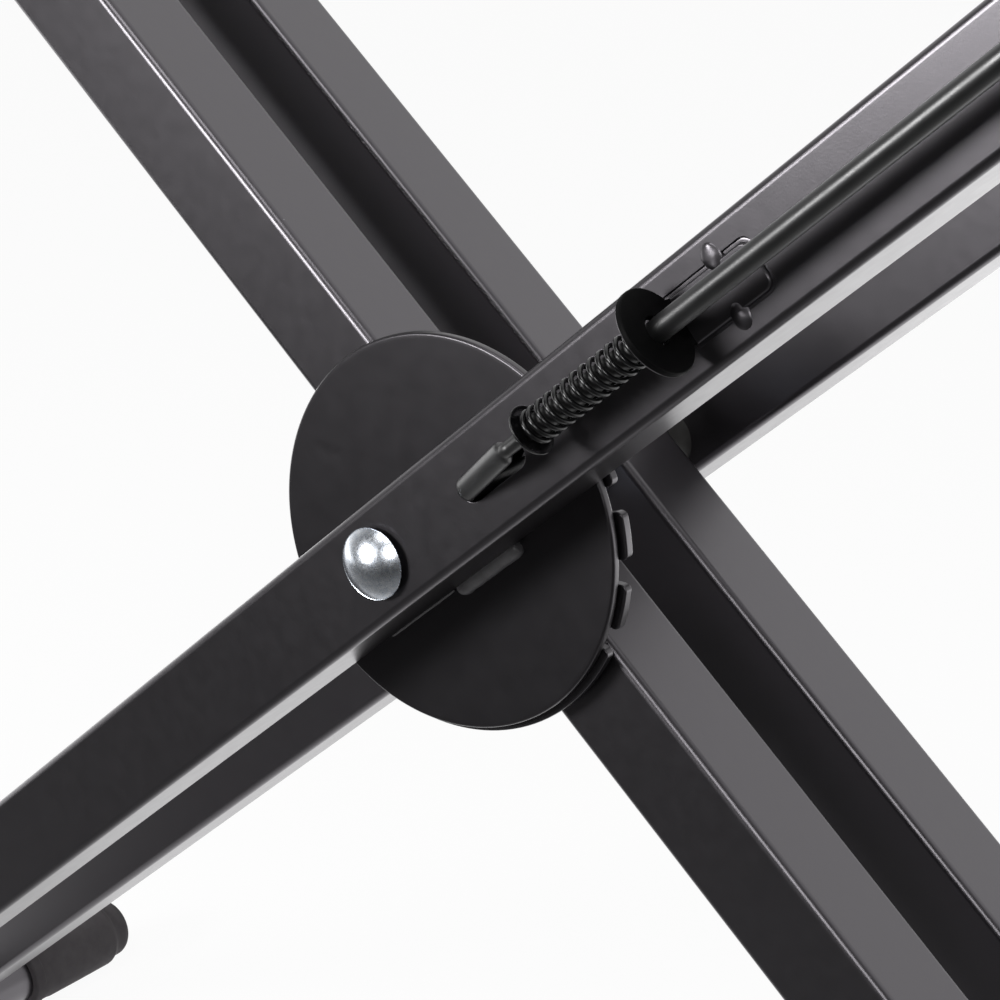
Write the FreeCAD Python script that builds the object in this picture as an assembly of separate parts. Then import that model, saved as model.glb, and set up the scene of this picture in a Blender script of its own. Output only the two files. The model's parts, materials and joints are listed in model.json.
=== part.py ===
import FreeCAD, Part
import math
import os

# Folding double-braced keyboard stand: two pairs of crossed square-tube legs on a pivot,
# held open by a sprung pull rod whose bent tip drops into a notched index plate.
# Millimetres. X runs left to right, Y from front to back, Z up from the floor.

V = FreeCAD.Vector

# Stance
leg_angle = 41.0
lower_reach = 522.0
upper_reach = 480.0
bar_offset = 14.0
leg_overhang = 15.0

# Leg tubes
tube_size = 30.0
tube_wall = 1.5
tube_corner = 2.5

# Depth of the hub, front to back
hub_gap = 10.0
inner_gap = 30.5
rear_gap = 15.5

# Foot bars and arm bars
bar_diameter = 25.0
bar_wall = 1.5
foot_length = 355.0
arm_length = 340.0
weld_gap = 0.05

# Rubber foot caps
foot_cap_length = 65.0
foot_cap_wall = 3.8
foot_cap_end = 4.0
foot_cap_nose = 9.0
foot_cap_step = 1.4
foot_cap_round = 5.0
foot_cap_edge = 0.8
foot_cap_flat = 0.7

# Rubber arm sleeves
sleeve_leg_gap = 2.0
sleeve_wall = 3.0
sleeve_end = 4.0
sleeve_lip = 3.5
sleeve_lip_width = 8.0
sleeve_round = 2.0
sleeve_rib_depth = 1.0
sleeve_rib_width = 2.5
sleeve_rib_pitch = 7.5
rubber_gap = 0.05

# Plugs in the leg ends
plug_flange = 2.0
plug_depth = 11.0
plug_clear = 0.15
plug_wall = 2.0

# Pivot bolts, nuts and washers
bolt_diameter = 8.0
bolt_head_diameter = 20.6
bolt_head_height = 4.6
bolt_neck_side = 8.2
bolt_neck_length = 5.0
bolt_stand = 3.3
bolt_tail = 2.0
hole_clear = 0.3
bore_clear = 0.05
face_gap = 0.1
washer_diameter = 20.0
washer_thickness = 1.6
nut_flats = 13.0
nut_hex_height = 6.0
nut_collar_height = 2.2
nut_collar_share = 0.46
crush_sleeve_diameter = 14.0
thrust_diameter = 44.0
spacer_diameter = 22.0

# Cover disc and its weld
cover_diameter = 116.0
cover_thickness = 3.0
cover_edge = 0.5
bead_radius = 2.6
bead_start = 0.6
bead_end = 18.4
bead_step = 1.1
boss_bead = 20.0

# Notched index plate
plate_diameter = 120.0
plate_thickness = 3.0
plate_gap = 0.6
boss_diameter = 64.0
plate_waist_diameter = 104.0
plate_rim_from = 52.0
plate_rim_to = -130.0
notch_pitch = 20.4
notch_first = -2
notch_last = 3
notch_width = 7.0
notch_root = 38.0
tooth_round = 2.0

# Slot for the rod tip in the front leg
slot_start = 38.4
slot_length = 25.4
slot_width = 8.0

# Pull rod
rod_diameter = 6.3
rod_height = 11.5
rod_drop = 76.0
neck_diameter = 3.7
neck_start = 65.0
seat_place = 79.5
tip_width = 6.4
tip_thickness = 4.8
tip_run = 3.6
tip_bend = 4.6
tip_knee = 3.4
tip_fall = 10.6
pin_place = 41.6
pin_gap = 0.4

# Spring washer and return spring
seat_diameter = 14.2
seat_thickness = 1.0
wire_diameter = 1.4
coil_diameter = 9.0
coil_end_pitch = 1.95
coil_end_turns = 1
coil_mid_turns = 12
spring_seat_gap = 0.3

# Rod guides
lower_guide_place = 124.0
upper_guide_drop = 74.0
guide_diameter = 24.0
guide_thickness = 2.0
guide_hole_diameter = 8.6
guide_base_length = 27.0
guide_base_width = 14.0
guide_base_sink = 0.5
guide_base_corner = 3.0
guide_fit = 0.6
tack_diameter = 5.2
tack_place_share = 0.55
tack_rise = 1.1

# Pull grip
grip_diameter = 16.0
grip_width = 64.0
grip_end_round = 5.0
grip_boss_diameter = 14.0
grip_boss_length = 20.0
grip_socket = 24.0
grip_clear = 0.05
screw_diameter = 3.0
screw_head_diameter = 5.5
screw_head_height = 1.6

# Overrun of every cutting solid past the face that it leaves
over = 5.0

# Places worked out from the sizes above
half_tube = tube_size / 2
bar_radius = bar_diameter / 2
bolt_radius = bolt_diameter / 2
rod_radius = rod_diameter / 2
hub_depth = 4 * tube_size + hub_gap + inner_gap + rear_gap
outer_front_y = -hub_depth / 2
inner_front_y = outer_front_y + tube_size + hub_gap
inner_rear_y = inner_front_y + tube_size + inner_gap
outer_rear_y = inner_rear_y + tube_size + rear_gap
cover_y = outer_front_y + tube_size
plate_y = cover_y + cover_thickness + plate_gap
boss_y = plate_y + plate_thickness
rod_y = outer_front_y - rod_height
rod_top = upper_reach - rod_drop
upper_guide_place = rod_top - upper_guide_drop
sleeve_length = (arm_length - hub_depth) / 2 - sleeve_leg_gap
sleeve_ribs = int((sleeve_length - sleeve_lip_width) / sleeve_rib_pitch)
slope = math.radians(leg_angle)
foot_drop = lower_reach * math.sin(slope) + bar_offset * math.cos(slope)
pivot_height = foot_drop + bar_radius + foot_cap_wall - foot_cap_flat
nut_height = nut_hex_height + nut_collar_height
front_nut_y = inner_front_y + tube_size + face_gap + washer_thickness
rear_nut_y = inner_rear_y - face_gap - washer_thickness
front_bolt_end = front_nut_y + nut_height + bolt_tail
rear_bolt_end = rear_nut_y - nut_height - bolt_tail
loose_bore = bolt_radius + hole_clear
coil_start = seat_place + spring_seat_gap + wire_diameter / 2
coil_end = lower_guide_place - spring_seat_gap - wire_diameter / 2
coil_mid_pitch = (coil_end - coil_start - 2 * coil_end_turns * coil_end_pitch) / coil_mid_turns
coil_turns = 2 * coil_end_turns + coil_mid_turns
screw_place = rod_top - rod_radius - grip_diameter / 2 - screw_head_diameter / 2 - screw_head_height

ALONG = V(1, 0, 0)
DEPTH = V(0, 1, 0)
ACROSS = V(0, 0, 1)
OUTER = 1
INNER = -1


def place(shape, side):
    """Turn a shape from the leg's own frame to its slope and lift it to the pivot's height."""
    shape.rotate(V(0, 0, 0), DEPTH, -side * leg_angle)
    shape.translate(V(0, 0, pivot_height))
    return shape


def save(name, solids, side):
    placed = [place(s, side) for s in solids]
    shape = Part.makeCompound(placed) if len(placed) > 1 else placed[0]
    shape.exportStep("parts/" + name + ".step")
    print(name, len(shape.Solids), "solids", round(shape.Volume), "mm3", shape.isValid())


def block(u0, u1, y0, y1, v0, v1):
    return Part.makeBox(u1 - u0, y1 - y0, v1 - v0, V(u0, y0, v0))


def rod_between(radius, start, end):
    return Part.makeCylinder(radius, (end - start).Length, start, end - start)


def edges_along(shape, direction):
    """Straight edges of a shape that run along a direction."""
    return [e for e in shape.Edges if abs(e.tangentAt(e.FirstParameter).dot(direction)) > 0.999]


def rounded_bar(u0, u1, y0, y1, v0, v1, radius):
    bar = block(u0, u1, y0, y1, v0, v1)
    return bar.makeFillet(radius, edges_along(bar, ALONG))


def ring(outer_radius, inner_radius, y0, thickness):
    """Flat washer or sleeve about the pivot axis."""
    body = Part.makeCylinder(outer_radius, thickness, V(0, y0, 0), DEPTH)
    bore = Part.makeCylinder(inner_radius, thickness + 2 * over, V(0, y0 - over, 0), DEPTH)
    return body.cut(bore)


# Bars across the legs

def bar_centres(side):
    """Centres of the foot bar and of the arm bar in the leg's frame."""
    foot = V(-side * lower_reach, 0, -bar_offset)
    arm = V(side * upper_reach, 0, bar_offset)
    return foot, arm


def bar_cut(centre):
    radius = bar_radius + weld_gap
    half = max(foot_length, arm_length)
    return rod_between(radius, centre - DEPTH * half, centre + DEPTH * half)


def cross_bar(centre, length, end):
    """Round tube across both legs of a pair, stopping inside its end pieces."""
    half = DEPTH * (length / 2 - end)
    solid = rod_between(bar_radius, centre - half, centre + half)
    reach = half + DEPTH * over
    bore = rod_between(bar_radius - bar_wall, centre - reach, centre + reach)
    return solid.cut(bore)


def grooves(centre, inner, outer, first, pitch, count, width, outward):
    """Ring-shaped cuts that leave the ribs of a rubber end piece."""
    cuts = []
    for k in range(count):
        start = centre + DEPTH * (outward * (first - k * pitch))
        full = Part.makeCylinder(outer + over, width, start, DEPTH * -outward)
        core = Part.makeCylinder(inner, width, start, DEPTH * -outward)
        cuts.append(full.cut(core))
    return cuts


def end_rim(shape, y):
    """Round edges of a shape that lie in one upright plane."""
    rounds = [e for e in shape.Edges if e.Curve.TypeId == "Part::GeomCircle"]
    return [e for e in rounds if abs(e.CenterOfMass.y - y) < weld_gap]


def foot_cap(centre, outward, side):
    """Closed rubber cap on one end of a foot bar, with a rounded nose and a flat to stand on."""
    radius = bar_radius + foot_cap_wall
    end = foot_length / 2
    start = centre + DEPTH * (outward * (end - foot_cap_length))
    body = Part.makeCylinder(radius, foot_cap_length - foot_cap_nose, start, DEPTH * outward)
    body = body.makeFillet(foot_cap_edge, end_rim(body, outward * (end - foot_cap_nose)))
    nose = Part.makeCylinder(radius - foot_cap_step, foot_cap_length, start, DEPTH * outward)
    nose = nose.makeFillet(foot_cap_round, end_rim(nose, outward * end))
    bore_length = foot_cap_length - foot_cap_end + over
    bore = Part.makeCylinder(bar_radius + rubber_gap, bore_length, start - DEPTH * (outward * over),
                             DEPTH * outward)
    tread_top = centre.z - radius + foot_cap_flat
    tread = block(centre.x - radius, centre.x + radius, -end - over, end + over,
                  tread_top - radius, tread_top)
    tread.rotate(centre, DEPTH, side * leg_angle)
    return body.fuse(nose).removeSplitter().cut([bore, tread])


def arm_sleeve(centre, outward):
    """Ribbed rubber sleeve with a lip that keeps the keyboard on the arm."""
    radius = bar_radius + sleeve_wall
    end = arm_length / 2
    start = centre + DEPTH * (outward * (end - sleeve_length))
    body = Part.makeCylinder(radius, sleeve_length, start, DEPTH * outward)
    lip_start = centre + DEPTH * (outward * (end - sleeve_lip_width))
    lip = Part.makeCylinder(radius + sleeve_lip, sleeve_lip_width, lip_start, DEPTH * outward)
    lip = lip.makeFillet(sleeve_round, [e for e in lip.Edges if e.Curve.TypeId == "Part::GeomCircle"])
    body = body.fuse(lip).removeSplitter()
    bore_length = sleeve_length - sleeve_end + over
    bore = Part.makeCylinder(bar_radius + rubber_gap, bore_length, start - DEPTH * (outward * over),
                             DEPTH * outward)
    first = end - sleeve_lip_width - sleeve_rib_pitch / 2
    ribs = grooves(centre, radius - sleeve_rib_depth, radius, first, sleeve_rib_pitch,
                   sleeve_ribs, sleeve_rib_width, outward)
    return body.cut([bore] + ribs)


# Legs

def leg_span(side):
    """Ends of a leg tube along its own axis, lowest value first."""
    ends = (-side * (lower_reach + leg_overhang), side * (upper_reach + leg_overhang))
    return min(ends), max(ends)


def leg_tube(side, y):
    low, high = leg_span(side)
    outer = rounded_bar(low, high, y, y + tube_size, -half_tube, half_tube, tube_corner)
    inner_half = half_tube - tube_wall
    inner = rounded_bar(low - over, high + over, y + tube_wall, y + tube_size - tube_wall,
                        -inner_half, inner_half, tube_corner - tube_wall)
    pivot = rod_between(bolt_radius + hole_clear, V(0, y - over, 0), V(0, y + tube_size + over, 0))
    return outer.cut([inner, pivot] + [bar_cut(c) for c in bar_centres(side)])


def neck_hole(y, inward):
    """Square hole in one wall for the bolt's square neck."""
    half = bolt_neck_side / 2 + bore_clear
    far = y + inward * tube_wall
    low, high = min(y, far), max(y, far)
    return block(-half, half, low, high, -half, half)


def slot_cut(y0, y1, open_ended):
    """Straight slot along the leg for the rod's bent tip."""
    half = slot_width / 2
    first = slot_start + half
    last = slot_start + slot_length - half
    if open_ended:
        last = cover_diameter
    middle = block(first, last, y0, y1, -half, half)
    ends = [rod_between(half, V(u, y0, 0), V(u, y1, 0)) for u in (first, last)]
    return middle.fuse(ends)


def guide_window(u):
    """Opening in the front wall that a rod guide stands in."""
    half = guide_base_width / 2 + guide_fit
    low = u - guide_fit
    high = u + guide_thickness + guide_base_length + guide_fit
    window = block(low, high, outer_front_y - over, outer_front_y + tube_wall + guide_fit, -half, half)
    far = [e for e in edges_along(window, DEPTH) if e.CenterOfMass.x > u + guide_thickness]
    return window.makeFillet(guide_base_corner, far)


def front_leg():
    tube = leg_tube(OUTER, outer_front_y)
    slot = slot_cut(outer_front_y - over, outer_front_y + tube_size + over, False)
    windows = [guide_window(u) for u in (lower_guide_place, upper_guide_place)]
    return tube.cut([slot, neck_hole(outer_front_y, 1)] + windows)


def rear_leg():
    tube = leg_tube(OUTER, outer_rear_y)
    return tube.cut(neck_hole(outer_rear_y + tube_size, -1))


def end_plug(side, y, u, outward):
    """Plastic plug in one end of a leg tube, cut round the bar beside it."""
    flange_end = u + outward * plug_flange
    flange = rounded_bar(min(u, flange_end), max(u, flange_end), y, y + tube_size,
                         -half_tube, half_tube, tube_corner)
    inset = tube_wall + plug_clear
    insert_end = u - outward * plug_depth
    insert = rounded_bar(min(u, insert_end), max(u, insert_end), y + inset, y + tube_size - inset,
                         -half_tube + inset, half_tube - inset, tube_corner - tube_wall)
    core = inset + plug_wall
    hollow = block(min(u, insert_end) - over * (outward > 0), max(u, insert_end) + over * (outward < 0),
                   y + core, y + tube_size - core, -half_tube + core, half_tube - core)
    plug = flange.fuse(insert.cut(hollow)).removeSplitter()
    plug = plug.cut([bar_cut(c) for c in bar_centres(side)])
    return max(plug.Solids, key=lambda s: s.Volume)


def leg_plugs(side, depths):
    low, high = leg_span(side)
    return [end_plug(side, y, u, out) for y in depths for u, out in ((low, -1), (high, 1))]


# Pivot

def pivot_bolt(y_wall, inward, y_end):
    """Domed bolt on the outside of a leg pair, its square neck standing partly proud of the wall."""
    radius = bolt_head_diameter / 2
    y_head = y_wall - inward * bolt_stand
    sphere_radius = (radius ** 2 + bolt_head_height ** 2) / (2 * bolt_head_height)
    ball = Part.makeSphere(sphere_radius, V(0, y_head + inward * (sphere_radius - bolt_head_height), 0))
    head_room = Part.makeCylinder(radius + over, bolt_head_height + over, V(0, y_head, 0), DEPTH * -inward)
    head = ball.common(head_room)
    half = bolt_neck_side / 2
    neck_end = y_head + inward * bolt_neck_length
    neck = block(-half, half, min(y_head, neck_end), max(y_head, neck_end), -half, half)
    shank = rod_between(bolt_radius, V(0, y_head, 0), V(0, y_end, 0))
    return head.fuse([neck, shank]).removeSplitter()


def pivot_nut(y_seat, outward):
    """Hexagon nut with the round collar of its locking insert."""
    corner = nut_flats / math.sqrt(3)
    points = [V(corner * math.cos(math.radians(60 * k)), y_seat, corner * math.sin(math.radians(60 * k)))
              for k in range(7)]
    hexagon = Part.Face(Part.makePolygon(points)).extrude(DEPTH * (outward * nut_hex_height))
    top = V(0, y_seat + outward * nut_hex_height, 0)
    collar = Part.makeCylinder(nut_flats * nut_collar_share, nut_collar_height, top, DEPTH * outward)
    bore_start = V(0, y_seat - outward * over, 0)
    bore_length = nut_hex_height + nut_collar_height + 2 * over
    bore = Part.makeCylinder(bolt_radius + bore_clear, bore_length, bore_start, DEPTH * outward)
    return hexagon.fuse(collar).removeSplitter().cut(bore)


def tube_sleeve(y, clearance):
    """Steel sleeve inside a leg tube that stops the bolt from crushing it."""
    length = tube_size - 2 * tube_wall - 2 * face_gap
    return ring(crush_sleeve_diameter / 2, bolt_radius + clearance, y + tube_wall + face_gap, length)


def outer_sleeve(y, inward):
    """Sleeve in an outer leg, stopping short of the bolt's square neck."""
    neck_reach = bolt_neck_length - bolt_stand
    start = y + tube_wall + face_gap
    length = tube_size - tube_wall - 2 * face_gap - neck_reach
    if inward > 0:
        start = y + neck_reach + face_gap
    return ring(crush_sleeve_diameter / 2, bolt_radius + bore_clear, start, length)


# Lock

def cover_disc():
    disc = Part.makeCylinder(cover_diameter / 2, cover_thickness, V(0, cover_y, 0), DEPTH)
    disc = disc.makeChamfer(cover_edge, [e for e in disc.Edges if e.Curve.TypeId == "Part::GeomCircle"])
    hole = rod_between(loose_bore, V(0, cover_y - over, 0), V(0, cover_y + cover_thickness + over, 0))
    slot = slot_cut(cover_y - over, cover_y + cover_thickness + over, True)
    return disc.cut([hole, slot])


def weld_bead(y_corner, v_corner, y_side, v_side, u0, u1, stock):
    """Weld run in the corner between a tube's edge and a plate, trimmed to both."""
    y = y_corner + y_side * bead_step
    v = v_corner + v_side * bead_step
    bead = rod_between(bead_radius, V(u0, y, v), V(u1, y, v))
    ends = [Part.makeSphere(bead_radius, V(u, y, v)) for u in (u0, u1)]
    bead = bead.fuse(ends).cut(stock)
    return max(bead.Solids, key=lambda s: s.Volume)


def sector(radius, start_angle, end_angle):
    """Pie-shaped prism over the index plate's depth, from one angle up to another."""
    wedge = Part.makeCylinder(radius, plate_thickness, V(0, plate_y, 0), DEPTH, end_angle - start_angle)
    centre = wedge.CenterOfMass
    middle = math.degrees(math.atan2(centre.z, centre.x))
    wedge.rotate(V(0, 0, 0), DEPTH, middle - (start_angle + end_angle) / 2)
    return wedge


def notch_cut(angle):
    """Radial notch with a round root, open at the rim."""
    half = notch_width / 2
    root = notch_root + half
    y0 = plate_y - over
    y1 = plate_y + plate_thickness + over
    cut = block(root, plate_diameter, y0, y1, -half, half)
    cut = cut.fuse(rod_between(half, V(root, y0, 0), V(root, y1, 0)))
    cut.rotate(V(0, 0, 0), DEPTH, -angle)
    return cut


def index_plate():
    """Plate on the inner legs whose notches take the rod's tip, one notch per height."""
    lock_angle = 2 * leg_angle
    rim = sector(plate_diameter / 2, plate_rim_to + leg_angle, plate_rim_from + leg_angle)
    waist = Part.makeCylinder(plate_waist_diameter / 2, plate_thickness, V(0, plate_y, 0), DEPTH)
    blank = rim.fuse(waist).removeSplitter()
    angles = [lock_angle + k * notch_pitch for k in range(-notch_last, 1 - notch_first)]
    hole = rod_between(loose_bore, V(0, plate_y - over, 0), V(0, boss_y + over, 0))
    plate = blank.cut([hole] + [notch_cut(a) for a in angles])
    reach = plate_waist_diameter / 2 - tooth_round
    corners = [e for e in edges_along(plate, DEPTH)
               if math.hypot(e.CenterOfMass.x, e.CenterOfMass.z) > reach]
    return plate.makeFillet(tooth_round, corners)


# Pull rod

def capsule_section(u, y, tangent):
    """Rounded flat section of the rod's tip, square to its path."""
    flat = (tip_width - tip_thickness) / 2
    normal = tangent.cross(ACROSS)
    half = tip_thickness / 2
    centre = V(u, y, 0)
    a = centre + normal * half + ACROSS * flat
    b = centre + normal * half - ACROSS * flat
    c = centre - normal * half - ACROSS * flat
    d = centre - normal * half + ACROSS * flat
    upper = centre + ACROSS * (flat + half)
    lower = centre - ACROSS * (flat + half)
    edges = [Part.LineSegment(a, b).toShape(), Part.Arc(b, lower, c).toShape(),
             Part.LineSegment(c, d).toShape(), Part.Arc(d, upper, a).toShape()]
    return Part.Wire(edges)


def bent_path(points, radii):
    """Straight runs joined by tangent arcs of the given radii."""
    edges = []
    last = points[0]
    for k in range(1, len(points) - 1):
        back = (points[k - 1] - points[k]).normalize()
        ahead = (points[k + 1] - points[k]).normalize()
        half = back.getAngle(ahead) / 2
        trim = radii[k - 1] / math.tan(half)
        start = points[k] + back * trim
        end = points[k] + ahead * trim
        bisector = (back + ahead).normalize()
        middle = points[k] + bisector * (radii[k - 1] / math.sin(half) - radii[k - 1])
        edges.append(Part.LineSegment(last, start).toShape())
        edges.append(Part.Arc(start, middle, end).toShape())
        last = end
    edges.append(Part.LineSegment(last, points[-1]).toShape())
    return Part.Wire(edges)


def pull_rod():
    """Straight rod, thinner neck under the spring and a flattened tip bent into the slot."""
    shaft = rod_between(rod_radius, V(seat_place, rod_y, 0), V(rod_top, rod_y, 0))
    neck = rod_between(neck_diameter / 2, V(neck_start - tip_run, rod_y, 0), V(seat_place, rod_y, 0))
    knee = V(neck_start, rod_y, 0)
    elbow = V(pin_place, rod_y + tip_fall, 0)
    foot = V(pin_place, plate_y - pin_gap, 0)
    run_in = knee + ALONG * tip_run
    path = bent_path([run_in, knee, elbow, foot], [tip_bend, tip_knee])
    tip = path.makePipeShell([capsule_section(run_in.x, run_in.y, ALONG * -1)], True, False)
    if tip.Volume < 0:
        tip.reverse()
    return shaft.fuse([neck, tip]).removeSplitter()


def spring_seat():
    """Washer on the rod's neck that the spring pushes on."""
    near = seat_place - seat_thickness
    body = rod_between(seat_diameter / 2, V(near, rod_y, 0), V(seat_place, rod_y, 0))
    radius = neck_diameter / 2 + bore_clear
    bore = rod_between(radius, V(near - over, rod_y, 0), V(seat_place + over, rod_y, 0))
    return body.cut(bore)


def coil_rise(turn):
    """Distance along the rod after a number of turns, closed coils at both ends."""
    low = min(turn, coil_end_turns)
    mid = min(max(turn - coil_end_turns, 0), coil_mid_turns)
    high = max(turn - coil_end_turns - coil_mid_turns, 0)
    return low * coil_end_pitch + mid * coil_mid_pitch + high * coil_end_pitch


def coil_point(turn):
    angle = 2 * math.pi * turn
    radius = coil_diameter / 2
    return V(coil_start + coil_rise(turn), rod_y + radius * math.cos(angle), radius * math.sin(angle))


def coil_tangent(turn):
    """Direction of the wire, with the mean rise of the turns on either side."""
    step = 0.25
    rise = (coil_rise(turn + step) - coil_rise(turn - step)) / (2 * step)
    if turn < step or turn > coil_turns - step:
        rise = coil_end_pitch
    angle = 2 * math.pi * turn
    swing = math.pi * coil_diameter
    return V(rise, -swing * math.sin(angle), swing * math.cos(angle)).normalize()


def tangent_arc(start, corner, end):
    """Arc from start to end that touches both lines to the corner."""
    weight = (end - start).Length / 2 / (corner - start).Length
    middle = (start + corner * (2 * weight) + end) * (1 / (2 + 2 * weight))
    return Part.Arc(start, middle, end).toShape()


def biarc(p0, t0, p1, t1):
    """Two tangent arcs between two points with given directions."""
    chord = p1 - p0
    both = t0 + t1
    a = 2 * (t0.dot(t1) - 1)
    b = -2 * chord.dot(both)
    c = chord.dot(chord)
    reach = (-b - math.sqrt(b * b - 4 * a * c)) / (2 * a)
    q0 = p0 + t0 * reach
    q1 = p1 - t1 * reach
    joint = (q0 + q1) * 0.5
    return [tangent_arc(p0, q0, joint), tangent_arc(joint, q1, p1)]


def return_spring():
    """Compression spring wound as one wire, from the seat washer to the guide."""
    edges = []
    for k in range(2 * coil_turns):
        t0, t1 = k / 2, (k + 1) / 2
        edges += biarc(coil_point(t0), coil_tangent(t0), coil_point(t1), coil_tangent(t1))
    path = Part.Wire(edges)
    profile = Part.Wire(Part.Circle(coil_point(0), coil_tangent(0), wire_diameter / 2).toShape())
    spring = path.makePipeShell([profile], True, False)
    if spring.Volume < 0:
        spring.reverse()
    samples = [e.valueAt(e.FirstParameter + (e.LastParameter - e.FirstParameter) * s / 6)
               for e in edges for s in range(6)]
    half_turn = 12
    least = min((a - b).Length for i, a in enumerate(samples) for b in samples[i + half_turn:])
    print("spring: least gap between turns", round(least - wire_diameter, 2), "mm,",
          "volume over section times length",
          round(spring.Volume / (path.Length * math.pi * wire_diameter ** 2 / 4), 4))
    return spring


# Rod guides and grip

def rod_guide(u, tube):
    """Round lug bent up from a base plate that is tacked into the leg's window."""
    half = guide_base_width / 2
    base_y = outer_front_y + guide_base_sink
    far = u + guide_thickness + guide_base_length
    base = block(u, far, base_y, base_y + guide_thickness, -half, half)
    base = base.makeFillet(guide_base_corner, [e for e in edges_along(base, DEPTH) if e.CenterOfMass.x > u])
    neck = block(u, u + guide_thickness, rod_y, base_y + guide_thickness, -half, half)
    lug = Part.makeCylinder(guide_diameter / 2, guide_thickness, V(u, rod_y, 0), ALONG)
    wall_side = block(u - over, u + over, outer_front_y - guide_fit, outer_front_y + tube_size,
                      -guide_diameter, guide_diameter)
    lug = lug.cut(wall_side)
    hole = rod_between(guide_hole_diameter / 2, V(u - over, rod_y, 0), V(u + over, rod_y, 0))
    body = base.fuse([neck, lug]).removeSplitter().cut(hole)
    tack_u = u + guide_thickness + guide_base_length * tack_place_share
    radius = tack_diameter / 2
    tack_y = outer_front_y + radius - tack_rise
    tacks = [Part.makeSphere(radius, V(tack_u, tack_y, side * (half + guide_fit))) for side in (-1, 1)]
    roof = block(u, far, outer_front_y - over, base_y + guide_thickness, -half - over, half + over)
    body = body.fuse([t.common(roof).cut(tube) for t in tacks]).removeSplitter()
    return max(body.Solids, key=lambda s: s.Volume)


def pull_grip():
    """Moulded finger bar across the top of the rod."""
    radius = grip_diameter / 2
    centre = rod_top - rod_radius
    bar = Part.makeCylinder(radius, grip_width, V(centre, rod_y, -grip_width / 2), ACROSS)
    bar = bar.makeFillet(grip_end_round, [e for e in bar.Edges if e.Curve.TypeId == "Part::GeomCircle"])
    boss = Part.makeCylinder(grip_boss_diameter / 2, grip_boss_length, V(centre, rod_y, 0), ALONG * -1)
    socket = Part.makeCylinder(rod_radius + grip_clear, grip_socket + over,
                               V(rod_top - grip_socket - over, rod_y, 0), ALONG)
    screw = rod_between(screw_diameter / 2 + grip_clear, V(screw_place, rod_y - grip_diameter, 0),
                        V(screw_place, rod_y, 0))
    return bar.fuse(boss).removeSplitter().cut([socket, screw])


def grip_screw():
    """Small screw through the grip's boss that bears on the rod."""
    seat = rod_y - grip_boss_diameter / 2
    shank = rod_between(screw_diameter / 2, V(screw_place, seat, 0), V(screw_place, rod_y - rod_radius, 0))
    head = rod_between(screw_head_diameter / 2, V(screw_place, seat - screw_head_height, 0),
                       V(screw_place, seat, 0))
    return head.fuse(shank).removeSplitter()


def build():
    os.makedirs("parts", exist_ok=True)
    for side, pair in ((OUTER, "outer"), (INNER, "inner")):
        foot, arm = bar_centres(side)
        save(pair + "_foot_bar", [cross_bar(foot, foot_length, foot_cap_end)], side)
        save(pair + "_arm_bar", [cross_bar(arm, arm_length, sleeve_end)], side)
        for end, outward in (("front", -1), ("rear", 1)):
            save(pair + "_foot_cap_" + end, [foot_cap(foot, outward, side)], side)
            save(pair + "_arm_sleeve_" + end, [arm_sleeve(arm, outward)], side)
    front = front_leg()
    cover = cover_disc()
    bead = weld_bead(cover_y, -half_tube, -1, -1, bead_start, bead_end, [front, cover])
    save("cover_weld", [bead], OUTER)
    save("lower_rod_guide", [rod_guide(lower_guide_place, front)], OUTER)
    save("upper_rod_guide", [rod_guide(upper_guide_place, front)], OUTER)
    save("outer_leg_front", [front], OUTER)
    save("cover_disc", [cover], OUTER)
    save("outer_leg_rear", [rear_leg()], OUTER)
    save("outer_leg_plugs", leg_plugs(OUTER, (outer_front_y, outer_rear_y)), OUTER)
    save("front_leg_sleeve", [outer_sleeve(outer_front_y, 1)], OUTER)
    save("rear_leg_sleeve", [outer_sleeve(outer_rear_y, -1)], OUTER)
    save("front_pivot_bolt", [pivot_bolt(outer_front_y, 1, front_bolt_end)], OUTER)
    save("rear_pivot_bolt", [pivot_bolt(outer_rear_y + tube_size, -1, rear_bolt_end)], OUTER)
    save("front_pivot_nut", [pivot_nut(front_nut_y, 1)], OUTER)
    save("rear_pivot_nut", [pivot_nut(rear_nut_y, -1)], OUTER)
    nut_washers = [ring(washer_diameter / 2, loose_bore, y, washer_thickness)
                   for y in (front_nut_y - washer_thickness, rear_nut_y)]
    save("pivot_washers", nut_washers, OUTER)
    save("thrust_washer", [ring(thrust_diameter / 2, loose_bore, cover_y + cover_thickness,
                                plate_gap - face_gap)], OUTER)
    save("rear_spacer", [ring(spacer_diameter / 2, loose_bore, inner_rear_y + tube_size + face_gap,
                              rear_gap - face_gap)], OUTER)

    inner_front = leg_tube(INNER, inner_front_y)
    boss = ring(boss_diameter / 2, loose_bore, boss_y, inner_front_y - boss_y)
    beads = [weld_bead(inner_front_y, v * half_tube, 1, v, -boss_bead, boss_bead, [inner_front, boss])
             for v in (-1, 1)]
    save("index_welds", beads, INNER)
    save("index_boss", [boss], INNER)
    save("index_plate", [index_plate()], INNER)
    save("inner_leg_front", [inner_front], INNER)
    save("inner_leg_rear", [leg_tube(INNER, inner_rear_y)], INNER)
    save("inner_leg_plugs", leg_plugs(INNER, (inner_front_y, inner_rear_y)), INNER)
    save("front_pivot_bush", [tube_sleeve(inner_front_y, bore_clear)], INNER)
    save("rear_pivot_bush", [tube_sleeve(inner_rear_y, bore_clear)], INNER)

    save("pull_rod", [pull_rod()], OUTER)
    save("spring_seat", [spring_seat()], OUTER)
    save("return_spring", [return_spring()], OUTER)
    save("pull_grip", [pull_grip()], OUTER)
    save("grip_screw", [grip_screw()], OUTER)


build()
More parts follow.
